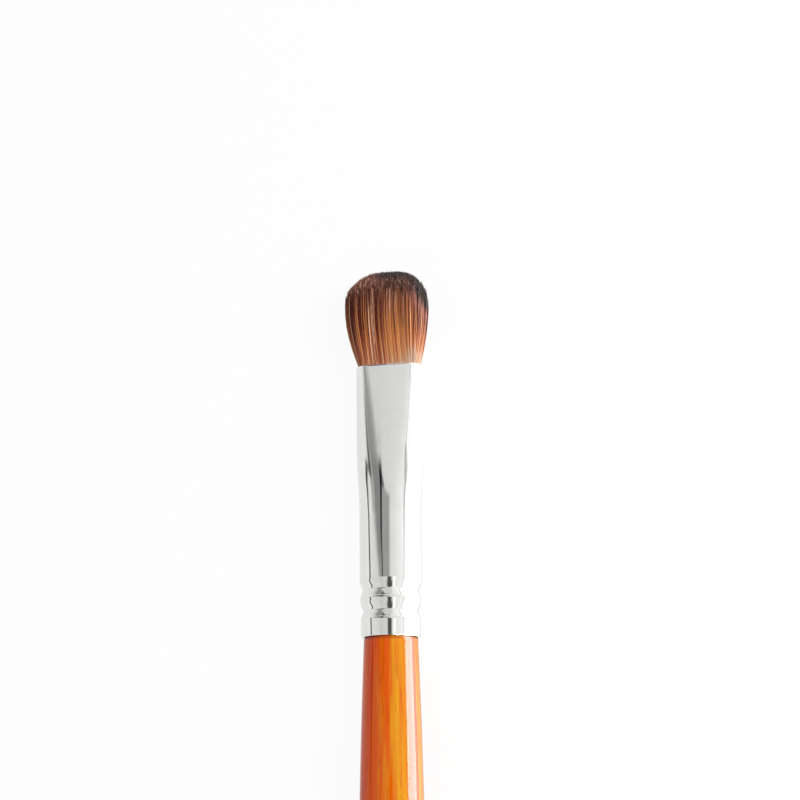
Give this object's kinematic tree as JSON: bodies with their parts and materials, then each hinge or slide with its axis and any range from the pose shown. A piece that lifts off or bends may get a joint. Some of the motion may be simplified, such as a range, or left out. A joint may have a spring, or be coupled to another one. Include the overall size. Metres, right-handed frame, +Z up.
{
  "type": "blending brush",
  "caption": "Make-up blending brush: a domed head of soft brown hair in a plated metal ferrule, crimped round and pressed flat at its mouth, on a slim lacquered wooden handle.",
  "frame": {"origin": "on the surface that the brush lies on, under the middle of its length, below the handle's axis", "axes": "+Y along the brush from the handle's butt to the tip of the hair; +Z up, square to the brush's axis and on the side of the ferrule's upper flat; +X across the flats"},
  "size_m": [0.0106, 0.1742, 0.0079],
  "materials": {
    "lacquered_wood": "gloss",
    "plated_metal": "polished",
    "wood_glue": "satin",
    "epoxy": "gloss",
    "waxed_thread": "matte",
    "soft_hair": "matte"
  },
  "bodies": {
    "root": {"handle": "lacquered_wood", "ferrule": "plated_metal", "tenon_glue": "wood_glue", "epoxy_plug": "epoxy", "binding_thread": "waxed_thread", "hair_bottom_layer": "soft_hair", "hair_lower_layer": "soft_hair", "hair_middle_layer": "soft_hair", "hair_upper_layer": "soft_hair", "hair_top_layer": "soft_hair"}
  },
  "joints": []
}
